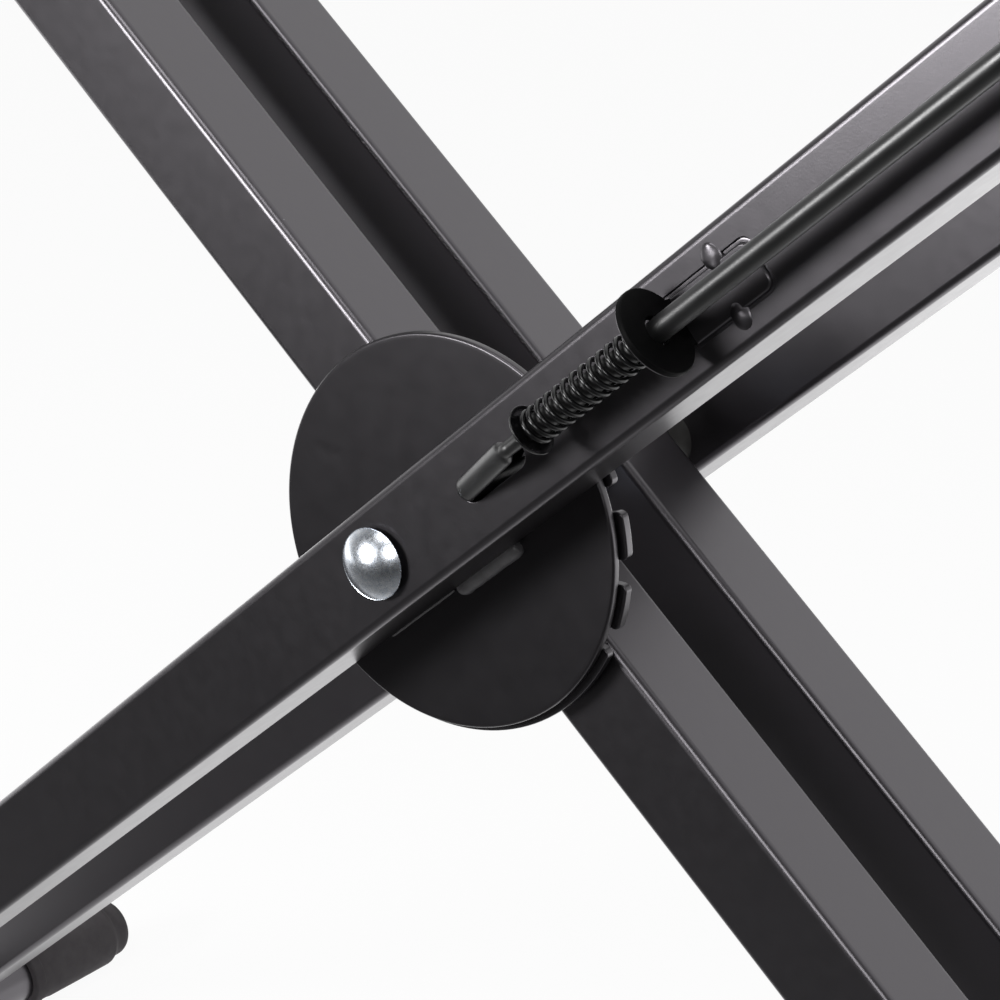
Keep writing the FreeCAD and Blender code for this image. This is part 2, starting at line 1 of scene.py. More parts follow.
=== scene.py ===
# %% [markdown]
# # A folding keyboard stand
# Two pairs of square steel legs cross on a pivot. A sprung rod on the front leg drops its bent tip into
# a notched plate and so locks the height. The solids come from the frame, in metres. This lesson looks
# at the hub from close by, so it gives every solid its finish and rebuilds by hand the pieces whose
# rounded edges, welds and wire catch the light.

# %% Load the frame
import bpy, bmesh, json, math, random
from mathutils import Matrix, Vector


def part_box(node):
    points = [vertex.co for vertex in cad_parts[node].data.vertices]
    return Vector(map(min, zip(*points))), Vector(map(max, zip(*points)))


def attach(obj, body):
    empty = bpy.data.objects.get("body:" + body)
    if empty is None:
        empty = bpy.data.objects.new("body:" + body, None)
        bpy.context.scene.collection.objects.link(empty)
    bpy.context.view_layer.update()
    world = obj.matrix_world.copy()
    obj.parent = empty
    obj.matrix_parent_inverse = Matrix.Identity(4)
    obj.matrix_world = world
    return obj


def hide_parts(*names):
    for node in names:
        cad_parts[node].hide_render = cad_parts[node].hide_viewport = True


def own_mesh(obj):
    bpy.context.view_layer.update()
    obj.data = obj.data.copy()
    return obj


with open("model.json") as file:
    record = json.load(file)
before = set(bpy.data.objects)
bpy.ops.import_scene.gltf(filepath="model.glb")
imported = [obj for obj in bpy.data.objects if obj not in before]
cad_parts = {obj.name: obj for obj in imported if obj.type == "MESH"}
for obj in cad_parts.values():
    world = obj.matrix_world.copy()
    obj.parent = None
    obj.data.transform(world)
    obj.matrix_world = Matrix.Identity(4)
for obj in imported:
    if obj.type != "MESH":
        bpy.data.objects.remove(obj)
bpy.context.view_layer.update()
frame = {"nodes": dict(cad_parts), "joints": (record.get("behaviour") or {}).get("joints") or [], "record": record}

# %% [markdown]
# ## Places on the stand
# Every lock piece lies along the front leg, so it is easiest to model it in the leg's own frame, where
# X runs up the leg, Y goes from front to back and Z is across the leg. The frame's two joints say where
# the pivot is and how steep the leg is. A finished piece is turned to that slope once and the turn is
# applied, so its object stays at the origin.

# %% Read the pivot, the slope and the depth of each layer
MM = 0.001
fold, pull = frame["joints"]
pivot_z = fold["pos_m"][2]
along = Vector(pull["axis"]).normalized()
slope = math.asin(along.z)
outer_pair = Matrix.Translation((0, 0, pivot_z)) @ Matrix.Rotation(-slope, 4, "Y")
inner_pair = Matrix.Translation((0, 0, pivot_z)) @ Matrix.Rotation(slope, 4, "Y")
depth_axis = Matrix.Rotation(math.pi / 2, 4, "Z")
front_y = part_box("outer_leg_front")[0].y
rear_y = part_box("outer_leg_rear")[1].y
cover_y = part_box("cover_disc")[0].y
rod_stand = 11.5 * MM
rod_y = front_y - rod_stand
rod_place = outer_pair @ Matrix.Translation((0, rod_y, 0))
hub = Vector((0, front_y, pivot_z))
print("hub:", [round(x, 4) for x in hub], "slope:", round(math.degrees(slope), 2), "degrees")

# %% [markdown]
# ## Camera
# The view is a close one from the front right and a little above, with the hub left of the middle. The
# camera is placed from the hub, and its three axes are built from an azimuth, an elevation and a small
# roll. That makes each number a thing that can be measured on the legs' edges, which an aimed camera
# would not.

# %% Set the camera
camera_azimuth = math.radians(35.8)
camera_elevation = math.radians(18.371)
camera_roll = math.radians(0.762)
camera_from_hub = Vector((0.381631, -0.471779, 0.219558))
focal_in_widths = 2.355811
sensor_width = 36
near_clip = 0.01

back = Vector((math.sin(camera_azimuth) * math.cos(camera_elevation),
               -math.cos(camera_azimuth) * math.cos(camera_elevation),
               math.sin(camera_elevation)))
level = Vector((math.cos(camera_azimuth), math.sin(camera_azimuth), 0))
upright = back.cross(level)
right = level * math.cos(camera_roll) + upright * math.sin(camera_roll)
up = upright * math.cos(camera_roll) - level * math.sin(camera_roll)
bpy.ops.object.select_all(action="DESELECT")
bpy.ops.object.camera_add()
camera = bpy.context.object
camera.name = "camera"
camera.data.sensor_width = sensor_width
camera.data.lens = sensor_width * focal_in_widths
camera.data.clip_start = near_clip
axes = Matrix((right, up, back)).transposed().to_4x4()
camera.matrix_world = Matrix.Translation(hub + camera_from_hub) @ axes
bpy.context.scene.camera = camera
bpy.context.scene.view_settings.view_transform = "Standard"
print("camera:", [round(x, 3) for x in camera.matrix_world.translation])
print("lens:", round(camera.data.lens, 1), "mm")

# %% [markdown]
# ## Black coat
# The tubes are powder coated: a thin, even, satin black with a fine orange peel, a few paler patches
# where it lies thicker, and the odd speck of dust. A flat black would look like a hole, so the colour
# is nearly black and the shine does the work: the roughness wanders a little and two sizes of noise
# lift the surface. All of it reads Object coordinates, which are metres here, so a scale of 1000 gives
# grains of about a millimetre.

# %% Nodes for noise, patches and specks
def add(tree, kind, **settings):
    node = tree.nodes.new(kind)
    for name, value in settings.items():
        setattr(node, name, value)
    return node


def spread(tree, source, low, high, first=0.0, last=1.0):
    """Bring a 0 to 1 value to the range that a socket needs."""
    node = add(tree, "ShaderNodeMapRange")
    for name, value in (("From Min", first), ("From Max", last), ("To Min", low), ("To Max", high)):
        node.inputs[name].default_value = value
    tree.links.new(source, node.inputs["Value"])
    return node.outputs["Result"]


def noise(tree, place, scale, detail=2.0):
    node = add(tree, "ShaderNodeTexNoise")
    node.inputs["Scale"].default_value = scale
    node.inputs["Detail"].default_value = detail
    tree.links.new(place, node.inputs["Vector"])
    return node.outputs["Fac"]


def two_tone(tree, mask, dark, pale):
    node = add(tree, "ShaderNodeMix", data_type="RGBA")
    node.inputs[6].default_value = (*dark, 1)
    node.inputs[7].default_value = (*pale, 1)
    tree.links.new(mask, node.inputs[0])
    return node.outputs[2]


def feed(tree, value, socket):
    """Give a socket a number or another node's output."""
    if isinstance(value, (int, float)):
        socket.default_value = value
    else:
        tree.links.new(value, socket)


def math_node(tree, operation, first, second):
    node = add(tree, "ShaderNodeMath", operation=operation)
    feed(tree, first, node.inputs[0])
    feed(tree, second, node.inputs[1])
    return node.outputs[0]


def speck_mask(tree, place, scale, size, share):
    """A dot in some of the cells of a Voronoi pattern."""
    cells = add(tree, "ShaderNodeTexVoronoi")
    cells.inputs["Scale"].default_value = scale
    tree.links.new(place, cells.inputs["Vector"])
    near = math_node(tree, "LESS_THAN", cells.outputs["Distance"], size)
    few = math_node(tree, "LESS_THAN", cells.outputs["Color"], share)
    return math_node(tree, "MULTIPLY", near, few)


print("node helpers ready")

# %% [markdown]
# ## A finish
# A finish mixes two tones by a mask of patches, lets the roughness wander and lifts the surface with
# two noises. One function makes paint, zinc and rubber alike when its numbers change, so every piece
# gets the same care. The coat's shine is stronger than a paint's, as the legs show little but
# reflections, and it carries a painted violet tint that stands in for the tint of the studio light.

# %% Mix a finish and the coats
speck_scale, speck_size = 130, 0.035
patch_edges, wander_edges, wander_scale = (0.35, 0.65), (0.3, 0.7), 2.3


def finish(name, dark, pale, rough, ior=1.5, metal=0.0, patch=90, grain=1500, peel=420, lift=0.008,
           speck=0.0, speck_tone=(0.2, 0.2, 0.21), shine=(1, 1, 1)):
    """Patchy colour, wandering roughness and a fine grain, on a material of one kind."""
    material = bpy.data.materials.new(name)
    material.use_nodes = True
    tree = material.node_tree
    shader = tree.nodes["Principled BSDF"]
    shader.inputs["Metallic"].default_value = metal
    shader.inputs["IOR"].default_value = ior
    # the reflections' colour; where a finish is given one, a painted tint of the studio light
    shader.inputs["Specular Tint"].default_value = (*shine, 1)
    place = add(tree, "ShaderNodeTexCoord").outputs["Object"]
    colour = two_tone(tree, spread(tree, noise(tree, place, patch, 4), 0, 1, *patch_edges), dark, pale)
    if speck:
        mask = speck_mask(tree, place, speck_scale, speck_size, speck)
        mix = add(tree, "ShaderNodeMix", data_type="RGBA")
        mix.inputs[7].default_value = (*speck_tone, 1)
        tree.links.new(mask, mix.inputs[0])
        tree.links.new(colour, mix.inputs[6])
        colour = mix.outputs[2]
    tree.links.new(colour, shader.inputs["Base Color"])
    wander = spread(tree, noise(tree, place, patch * wander_scale, 3), *rough, *wander_edges)
    tree.links.new(wander, shader.inputs["Roughness"])
    height = math_node(tree, "ADD", noise(tree, place, grain, 1), noise(tree, place, peel, 2))
    bump = add(tree, "ShaderNodeBump")
    bump.inputs["Strength"].default_value = 1.0
    bump.inputs["Distance"].default_value = lift * MM
    tree.links.new(height, bump.inputs["Height"])
    tree.links.new(bump.outputs["Normal"], shader.inputs["Normal"])
    return material


coat_black = (0.0022, 0.0020, 0.0023)
coat_thick = (0.0030, 0.0028, 0.0032)
# Painted tint of the studio light: the coats' reflections are tinted faintly violet.
coat_lamp_tint = (0.98, 0.93, 1.0)
leg_coat = finish("leg_coat", coat_black, coat_thick, (0.31, 0.335), ior=2.0, lift=0.009, speck=0.09,
                  shine=coat_lamp_tint)
hub_coat = finish("hub_coat", coat_black, coat_thick, (0.32, 0.345), ior=1.72, patch=60, speck=0.22,
                  shine=coat_lamp_tint)
# Painted sheen: the cover bead's pale grey stands in for the light that its lower face catches.
weld_painted_sheen = finish("weld_painted_sheen", (0.055, 0.053, 0.056), (0.075, 0.073, 0.077), (0.38, 0.46), patch=260,
                   lift=0.02)
print("coats:", leg_coat.name, hub_coat.name, weld_painted_sheen.name)

# %% [markdown]
# ## Other finishes
# The rod is dull black and the spring is oiled, so the spring shines more. The lug and foot faces
# that look up the leg get painted shade: a dull near black that stands in for the shade on them.
# The pivot bolts are bright zinc, which sets in tiny crystals that break up the mirror. The feet,
# sleeves and plugs are rubber and moulded plastic with a soft grain.

# %% Rod, spring, zinc, steel, rubber and plastics
rod_coat = finish("rod_coat", (0.004, 0.004, 0.0043), (0.006, 0.006, 0.0064), (0.33, 0.40), ior=1.8,
                  lift=0.01)
spring_coat = finish("spring_coat", (0.003, 0.003, 0.0033), (0.0045, 0.0045, 0.005), (0.18, 0.24),
                     ior=1.5, lift=0.003)
# Painted shade: a dull near black for the lug and foot faces that look up the leg, which lie in shade.
lug_painted_shade = finish("lug_painted_shade", (0.0010, 0.0010, 0.0011), (0.0016, 0.0016, 0.0017), (0.5, 0.6),
                   ior=1.15)
zinc = finish("zinc", (0.66, 0.71, 0.79), (0.86, 0.89, 0.94), (0.24, 0.32), metal=1.0, patch=900,
              grain=3200, peel=1100, lift=0.02)
bare_steel = finish("bare_steel", (0.42, 0.42, 0.43), (0.58, 0.58, 0.59), (0.25, 0.42), metal=1.0,
                    patch=200)
rubber = finish("rubber", (0.1, 0.092, 0.098), (0.118, 0.109, 0.115), (0.7, 0.8), ior=1.3, patch=160,
                lift=0.03)
plug_plastic = finish("plug_plastic", (0.01, 0.01, 0.0105), (0.016, 0.016, 0.0165), (0.38, 0.5),
                      lift=0.03)
grip_plastic = finish("grip_plastic", (0.009, 0.009, 0.0095), (0.014, 0.014, 0.0145), (0.42, 0.52),
                      lift=0.05)
nylon = finish("nylon", (0.035, 0.034, 0.033), (0.055, 0.054, 0.052), (0.42, 0.55), lift=0.02)
finishes = {"leg_paint": leg_coat, "hub_paint": hub_coat, "rod_black": rod_coat,
            "spring_black": spring_coat, "zinc_plate": zinc, "bare_steel": bare_steel, "rubber": rubber,
            "plug_plastic": plug_plastic, "grip_plastic": grip_plastic, "nylon": nylon}
for part in frame["record"]["subparts"]:
    solid = frame["nodes"][part["node"]]
    solid.data.materials.clear()
    solid.data.materials.append(finishes[part["material_slot"]])

# %% [markdown]
# ## Helpers for modelling by hand
# Each piece starts as a primitive and is shaped in edit mode. An operator acts on all that is selected,
# so the first helper clears the selection before it adds anything. Another opens a piece for editing,
# and one picks points, edges or faces by a test of their place.

# %% Start, open and pick
def start(name, primitive, **size):
    bpy.ops.object.select_all(action="DESELECT")
    primitive(**size)
    piece = bpy.context.object
    piece.name = name
    piece.data.name = name
    bpy.ops.object.transform_apply(location=True, rotation=True, scale=True)
    return piece


def only(piece):
    bpy.ops.object.select_all(action="DESELECT")
    piece.select_set(True)
    bpy.context.view_layer.objects.active = piece


def open_piece(piece):
    only(piece)
    bpy.ops.object.mode_set(mode="EDIT")
    bpy.context.tool_settings.mesh_select_mode = (True, False, False)


def close_piece():
    bpy.ops.object.mode_set(mode="OBJECT")


def pick(piece, kind, wanted):
    """Select the points, edges or faces of an open piece that pass a test."""
    bpy.context.tool_settings.mesh_select_mode = (kind == "VERT", kind == "EDGE", kind == "FACE")
    bpy.ops.mesh.select_all(action="DESELECT")
    mesh = bmesh.from_edit_mesh(piece.data)
    chosen = [e for e in {"VERT": mesh.verts, "EDGE": mesh.edges, "FACE": mesh.faces}[kind] if wanted(e)]
    for element in chosen:
        element.select_set(True)
    bmesh.update_edit_mesh(piece.data)
    return len(chosen)


print("selection helpers ready")

# %% [markdown]
# ## Helpers that finish a piece
# Modifiers are applied as soon as they are added, so a piece is always plain mesh. Loose points are
# welded, pieces are joined, and the last helper turns a piece to its slope, gives it a finish and hands
# it over.

# %% Modify, clean, join and settle
def apply_modifier(piece, kind, **settings):
    only(piece)
    modifier = piece.modifiers.new(kind.lower(), kind)
    for name, value in settings.items():
        setattr(modifier, name, value)
    bpy.ops.object.modifier_apply(modifier=modifier.name)


def soften(piece, width, segments=3, angle=35):
    """Round the sharp edges of a piece."""
    apply_modifier(piece, "BEVEL", width=width, segments=segments, limit_method="ANGLE",
                   angle_limit=math.radians(angle), use_clamp_overlap=True, harden_normals=False)


def clean(piece):
    """Weld the points that lie together and turn the faces outwards."""
    open_piece(piece)
    bpy.ops.mesh.select_all(action="SELECT")
    bpy.ops.mesh.remove_doubles(threshold=0.004 * MM)
    bpy.ops.mesh.normals_make_consistent(inside=False)
    close_piece()


def joined(name, pieces):
    bpy.ops.object.select_all(action="DESELECT")
    for piece in pieces:
        piece.select_set(True)
    bpy.context.view_layer.objects.active = pieces[0]
    bpy.ops.object.join()
    pieces[0].name = name
    pieces[0].data.name = name
    return pieces[0]


def settle(piece, place, body, slot, nodes, smooth=35):
    """Turn a piece to its place, finish it, and let it stand for its solids."""
    only(piece)
    piece.matrix_world = place
    bpy.ops.object.transform_apply(location=True, rotation=True, scale=True)
    bpy.ops.object.shade_smooth_by_angle(angle=math.radians(smooth))
    apply_modifier(piece, "WEIGHTED_NORMAL", mode="FACE_AREA", weight=100, keep_sharp=True)
    if not piece.data.materials:
        piece.data.materials.append(finishes[slot])
    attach(piece, body)
    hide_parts(*nodes)
    triangles = sum(len(face.vertices) - 2 for face in piece.data.polygons)
    print(piece.name, "stands for", ", ".join(nodes), "with", triangles, "triangles")
    return piece


print("finishing helpers ready")

# %% [markdown]
# ## Turned shapes and drawn shapes
# Bolts, washers, caps and sleeves are round, so they are turned: one point is extruded along a profile
# and the line is spun about the X axis, as on a lathe. Weld beads and the rod's bent tip are drawn out
# instead: a ring is extruded from station to station and resized on the way.

# %% Lathe and extruder
def turned(name, profile, steps=64):
    """Spin a profile of (place on the axis, radius) about X."""
    piece = start(name, bpy.ops.mesh.primitive_plane_add, size=MM)
    open_piece(piece)
    bpy.ops.mesh.select_all(action="SELECT")
    bpy.ops.mesh.merge(type="CENTER")
    bpy.ops.transform.translate(value=(profile[0][0], 0, profile[0][1]))
    for before, after in zip(profile, profile[1:]):
        step = (after[0] - before[0], 0, after[1] - before[1])
        bpy.ops.mesh.extrude_region_move(TRANSFORM_OT_translate={"value": step})
    bpy.ops.mesh.select_all(action="SELECT")
    bpy.ops.mesh.spin(steps=steps, angle=2 * math.pi, center=(0, 0, 0), axis=(1, 0, 0))
    close_piece()
    clean(piece)
    return piece


def drawn(name, sides, stations):
    """Extrude a ring through stations of (place, half depth, half width, turn about the across axis)."""
    piece = start(name, bpy.ops.mesh.primitive_circle_add, vertices=sides, radius=1, fill_type="NGON",
                  rotation=(0, math.pi / 2, 0))
    open_piece(piece)
    bpy.ops.mesh.select_all(action="SELECT")
    place, thick, wide = stations[0][:3]
    bpy.ops.transform.resize(value=(thick, thick, wide), center_override=(0, 0, 0))
    bpy.ops.transform.translate(value=place)
    for (p0, t0, w0, a0), (p1, t1, w1, a1) in zip(stations, stations[1:]):
        step = tuple(Vector(p1) - Vector(p0))
        bpy.ops.mesh.extrude_region_move(TRANSFORM_OT_translate={"value": step})
        if a1 != a0:
            bpy.ops.transform.rotate(value=a1 - a0, orient_axis="Z", center_override=p1)
        bpy.ops.transform.resize(value=(t1 / t0, t1 / t0, w1 / w0), center_override=p1)
    close_piece()
    clean(piece)
    return piece


def arc(x, r, radius, first, last, steps=6):
    """Points of a rounded corner on a profile, from one angle to another in degrees."""
    angles = [math.radians(first + (last - first) * k / steps) for k in range(steps + 1)]
    return [(x + radius * math.cos(a), r + radius * math.sin(a)) for a in angles]


print("helpers ready")

# %% [markdown]
# ## Front leg
# The front leg is a square tube with a slot for the rod's tip and two windows for the rod guides. On
# the real one the cutting left burrs, and the coat has flowed round them, so the openings have soft
# lips that shine. The tube's solid is already right, so a copy of it is taken, its loose triangles are
# welded, flat regions are joined, and only the edges of the openings on the front wall are bevelled.

# %% Soft lips on the front leg's openings
def copy_of(node, name):
    """A free copy of a solid's mesh, with its loose triangles welded and its flat faces joined."""
    piece = bpy.data.objects.new(name, frame["nodes"][node].data.copy())
    bpy.context.scene.collection.objects.link(piece)
    open_piece(piece)
    bpy.ops.mesh.select_all(action="SELECT")
    bpy.ops.mesh.remove_doubles(threshold=0.001 * MM)
    bpy.ops.mesh.dissolve_limited(angle_limit=math.radians(0.2))
    close_piece()
    return piece


lip_radius = 0.55 * MM
flat_half = 11 * MM
leg_frame = outer_pair.inverted()
front_leg = copy_of("outer_leg_front", "front_leg")
open_piece(front_leg)
on_wall = 0.01 * MM
lips = pick(front_leg, "EDGE", lambda e: all(abs(v.co.y - front_y) < on_wall
                                             and abs((leg_frame @ v.co).z) < flat_half for v in e.verts)
            and len(e.link_faces) == 2 and e.calc_face_angle(0) > 1)
bpy.ops.mesh.bevel(offset=lip_radius, segments=3, profile=0.5, clamp_overlap=True)
close_piece()
print("edges softened:", lips)
settle(front_leg, Matrix(), "outer_frame", "leg_paint", ["outer_leg_front"], smooth=40)

# %% [markdown]
# ## Cover disc
# A pressed steel disc is welded behind the front leg and hides the teeth. It is turned from a profile
# with many rings, because a plain cylinder has one big face with no points to shape. A slot is cut from
# the rim for the rod's tip, and a shallow crease is pushed in as three small knocks with proportional
# editing.

# %% Turn, slot and dent the cover disc
disc_radius, disc_thick, disc_edge, pivot_bore = 58 * MM, 3 * MM, 0.9 * MM, 4.3 * MM
ring_count, ring_steps = 56, 192
flat_radius = disc_radius - disc_edge
disc_back = cover_y + disc_thick
face = [(cover_y, pivot_bore + (flat_radius - pivot_bore) * k / ring_count) for k in range(ring_count)]
rim = (arc(cover_y + disc_edge, flat_radius, disc_edge, 180, 90, 4)
       + arc(disc_back - disc_edge, flat_radius, disc_edge, 90, 0, 4))
disc = turned("cover_disc_sheet", face + rim + [(disc_back, pivot_bore), face[0]], ring_steps)
only(disc)
disc.matrix_world = depth_axis
bpy.ops.object.transform_apply(location=False, rotation=True, scale=False)

slot_start, slot_half, cutter_long, cutter_deep = 38.4 * MM, 4 * MM, 40 * MM, 20 * MM
cutter = start("slot_cutter", bpy.ops.mesh.primitive_cube_add, size=1,
               location=(slot_start + cutter_long / 2, cover_y, 0),
               scale=(cutter_long, cutter_deep, 2 * slot_half))
open_piece(cutter)
pick(cutter, "EDGE", lambda e: all(v.co.x < slot_start + 1 * MM for v in e.verts)
     and abs(e.verts[0].co.y - e.verts[1].co.y) > 1 * MM)
bpy.ops.mesh.bevel(offset=slot_half * 0.98, segments=8)
close_piece()
apply_modifier(disc, "BOOLEAN", object=cutter, operation="DIFFERENCE", solver="EXACT")
bpy.data.objects.remove(cutter)

knocks = [((-23.2, 42.6), 0.07, 2.2), ((-21.2, 40.2), 0.08, 2.2), ((-19.0, 37.6), 0.07, 2.2)]
for (knock_u, knock_v), sink, size in knocks:
    open_piece(disc)
    spot = Vector((knock_u * MM, cover_y, knock_v * MM))
    nearest = min(bmesh.from_edit_mesh(disc.data).verts, key=lambda v: (v.co - spot).length).index
    pick(disc, "VERT", lambda v: v.index == nearest)
    bpy.ops.transform.translate(value=(0, sink * MM, 0), use_proportional_edit=True,
                                proportional_edit_falloff="SMOOTH", proportional_size=size * MM)
    close_piece()
settle(disc, outer_pair, "outer_frame", "hub_paint", ["cover_disc"], smooth=30)

# %% [markdown]
# ## Weld beads
# A short bead holds the cover disc under the leg's back corner, and two more hold the index plate's
# boss. A bead is laid in overlapping drops, so it is drawn out as a ring whose size rises and falls,
# with a little wander from a seeded random draw, and then smoothed with a subdivision surface.

# %% Lay the beads
drop_pitch = 0.9 * MM


def bead(name, first, last, y, v, radius, seed):
    """A row of drops along the leg, from one place to another."""
    draw = random.Random(seed)
    count = int((last - first) / drop_pitch)
    stations = []
    for k in range(count + 1):
        share = k / count
        swell = min(1, 0.62 + 6 * min(share, 1 - share)) * (0.97 + 0.015 * math.cos(math.pi * k))
        wander = draw.uniform(-0.07, 0.07) * MM
        size = radius * swell * draw.uniform(0.97, 1.02)
        stations.append(((first + (last - first) * share, y + wander, v + wander), size, size, 0))
    piece = drawn(name, 14, stations)
    apply_modifier(piece, "SUBSURF", levels=2, render_levels=2)
    return piece


bead_from, bead_to, bead_lift, bead_across, bead_size = -4.6 * MM, 22.4 * MM, 0.9 * MM, -15.9 * MM, 2.9 * MM
seam_from, seam_to, seam_lift, seam_across, seam_size = -37 * MM, -7 * MM, 0.35 * MM, -14.9 * MM, 0.55 * MM
cover_bead = bead("cover_bead", bead_from, bead_to, cover_y - bead_lift, bead_across, bead_size, 3)
seam = bead("cover_seam", seam_from, seam_to, cover_y - seam_lift, seam_across, seam_size, 4)
cover_bead = joined("cover_bead", [cover_bead, seam])
# the cover bead takes the pale finish of painted sheen
cover_bead.data.materials.append(weld_painted_sheen)
settle(cover_bead, outer_pair, "outer_frame", "hub_paint", ["cover_weld"], smooth=60)
boss_half, boss_sink, boss_across, boss_size = 22 * MM, 1.1 * MM, 16.1 * MM, 2.5 * MM
boss_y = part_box("inner_leg_front")[0].y + boss_sink
boss_beads = [bead("boss_bead", -boss_half, boss_half, boss_y, side * boss_across, boss_size, 5 + side)
              for side in (-1, 1)]
settle(joined("boss_beads", boss_beads), inner_pair, "inner_frame", "hub_paint", ["index_welds"],
       smooth=60)

# %% [markdown]
# ## Index plate
# Its notches take the rod's tip, one for each height, and the rims of a few teeth show beside the cover
# disc. The blanked edge is rounded by the coat. The outline is exact in the solid, so a copy is welded
# and its sharp edges are bevelled.

# %% Round the index plate
index_plate = copy_of("index_plate", "notched_plate")
plate_edge = 0.45 * MM
soften(index_plate, plate_edge, 3, 40)
settle(index_plate, Matrix(), "inner_frame", "hub_paint", ["index_plate"], smooth=35)

# %% [markdown]
# ## Pivot bolts
# The pivots are carriage bolts: a low dome over a square neck, zinc plated. The dome is turned from an
# arc with a thin edge, the neck is a bevelled block, and the end that stands out of its nut is turned
# with ridges for the thread. The same bolt is made twice, facing the front and facing the back.

# %% Turn and place both bolts
head_radius, head_height, head_stand, neck_half = 10.3 * MM, 4.6 * MM, 1.9 * MM, 4.1 * MM
shank_radius, thread_pitch, thread_depth, rim_edge = 4 * MM, 1.25 * MM, 0.45 * MM, 0.18 * MM
neck_length, neck_edge, thread_length, tip_taper = 5 * MM, 0.5 * MM, 16 * MM, 0.6 * MM
dome_steps, head_steps, shank_steps = 14, 96, 32
dome_radius = (head_radius ** 2 + head_height ** 2) / (2 * head_height)
dome_edge = math.degrees(math.asin((head_radius - rim_edge) / dome_radius))


def bolt(name, wall, inward, tip):
    """A bolt along +X from its dome to its threaded tip, with its wall at X = 0."""
    under = -head_stand
    centre = under + dome_radius - head_height
    angles = [math.radians(dome_edge * k / dome_steps) for k in range(dome_steps + 1)]
    dome = [(centre - dome_radius * math.cos(a), dome_radius * math.sin(a)) for a in angles]
    rim = arc(under - rim_edge, head_radius - rim_edge, rim_edge, 120, 0, 4)
    head = turned(name, dome + rim + [(under, 0)], head_steps)
    neck = start(name + "_neck", bpy.ops.mesh.primitive_cube_add, size=1,
                 location=(under + neck_length / 2, 0, 0), scale=(neck_length, 2 * neck_half, 2 * neck_half))
    soften(neck, neck_edge, 2)
    ridges = int(thread_length / thread_pitch)
    thread = [(under, shank_radius)]
    for k in range(ridges, 0, -1):
        thread += [(tip - (k + 0.5) * thread_pitch, shank_radius),
                   (tip - k * thread_pitch, shank_radius - thread_depth)]
    point = [(tip - tip_taper, shank_radius - 0.2 * MM), (tip, shank_radius - 0.9 * MM), (tip, 0)]
    shank = turned(name + "_shank", [(under, 0)] + thread + point, shank_steps)
    piece = joined(name, [head, neck, shank])
    only(piece)
    facing_in = Matrix.Rotation(inward * math.pi / 2, 4, "Z")
    piece.matrix_world = Matrix.Translation((0, wall, 0)) @ facing_in
    bpy.ops.object.transform_apply(location=True, rotation=True, scale=True)
    return piece


front_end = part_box("front_pivot_bolt")[1].y
rear_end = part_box("rear_pivot_bolt")[0].y
front_bolt = bolt("front_bolt", front_y, 1, front_end - front_y)
settle(front_bolt, outer_pair, "outer_frame", "zinc_plate", ["front_pivot_bolt"], smooth=40)
rear_bolt = bolt("rear_bolt", rear_y, -1, rear_y - rear_end)
settle(rear_bolt, outer_pair, "outer_frame", "zinc_plate", ["rear_pivot_bolt"], smooth=40)

# %% [markdown]
# ## Pull rod
# The rod is a round bar, necked down where the spring's washer sits. Its end is hammered to a wider
# thumb and bent twice, so that it dives through the slot to the index plate. The straight part is
# turned. The thumb is drawn out from the neck: the ring turns at the first bend, widens sideways for
# the shoulders, and narrows again round the second bend, so that its end looks round from above.

# %% Turn the rod and draw out its thumb
rod_radius, neck_radius = 3.15 * MM, 2.05 * MM
neck_start, thumb_start = 70 * MM, 70.6 * MM
shoulder, rod_top, rod_round = 79.5 * MM, 404 * MM, 0.8 * MM
rod_profile = ([(neck_start, 0), (neck_start, neck_radius), (shoulder - 0.1 * MM, neck_radius)]
               + arc(shoulder + rod_round, rod_radius - rod_round, rod_round, 180, 90, 4)
               + [(rod_top * k / 12 + shoulder * (12 - k) / 12, rod_radius) for k in range(1, 12)]
               + arc(rod_top - rod_round, rod_radius - rod_round, rod_round, 90, 0, 4) + [(rod_top, 0)])
rod = turned("rod", rod_profile, 40)

thumb_half_wide, thumb_half_thick, pin_half_wide = 3.3 * MM, 2.2 * MM, 2.8 * MM
knee_place, knee_bend, elbow_bend = 68.2 * MM, 5 * MM, 3.2 * MM
pin_place, thumb_fall = 41.6 * MM, 9.0 * MM
pin_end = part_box("pull_rod")[1].y - rod_y
fall = math.atan2(thumb_fall, knee_place - pin_place)


def bend(place, first, last, radius, steps):
    """Places and turns along a bend that begins at a place with one turn and ends with another."""
    cx, cy = place[0] + radius * math.sin(first), place[1] + radius * math.cos(first)
    turns = [first + (last - first) * k / steps for k in range(steps + 1)]
    return [((cx - radius * math.sin(a), cy - radius * math.cos(a), 0), a) for a in turns]


knee_run = knee_bend * math.tan(fall / 2)
elbow_run = elbow_bend * math.tan((math.pi / 2 - fall) / 2)
elbow_start = (pin_place + elbow_run * math.cos(fall), thumb_fall - elbow_run * math.sin(fall))
knee = bend((knee_place + knee_run, 0), 0, fall, knee_bend, 4)
elbow = bend(elbow_start, fall, math.pi / 2, elbow_bend, 6)
stations = [((thumb_start, 0, 0), neck_radius * 0.9, neck_radius * 0.9, 0)]
stations += [(place, neck_radius, neck_radius, turn) for place, turn in knee]
knee_end = Vector(knee[-1][0])
down_leg = Vector((-math.cos(fall), math.sin(fall), 0))
for run, wide in ((0.25, 0.72), (0.6, 0.86), (1.1, 0.95), (1.9, 1.0)):
    place = tuple(knee_end + down_leg * run * MM)
    thick = neck_radius + (thumb_half_thick - neck_radius) * (wide - 0.62) / 0.38
    stations.append((place, thick, thumb_half_wide * wide, fall))
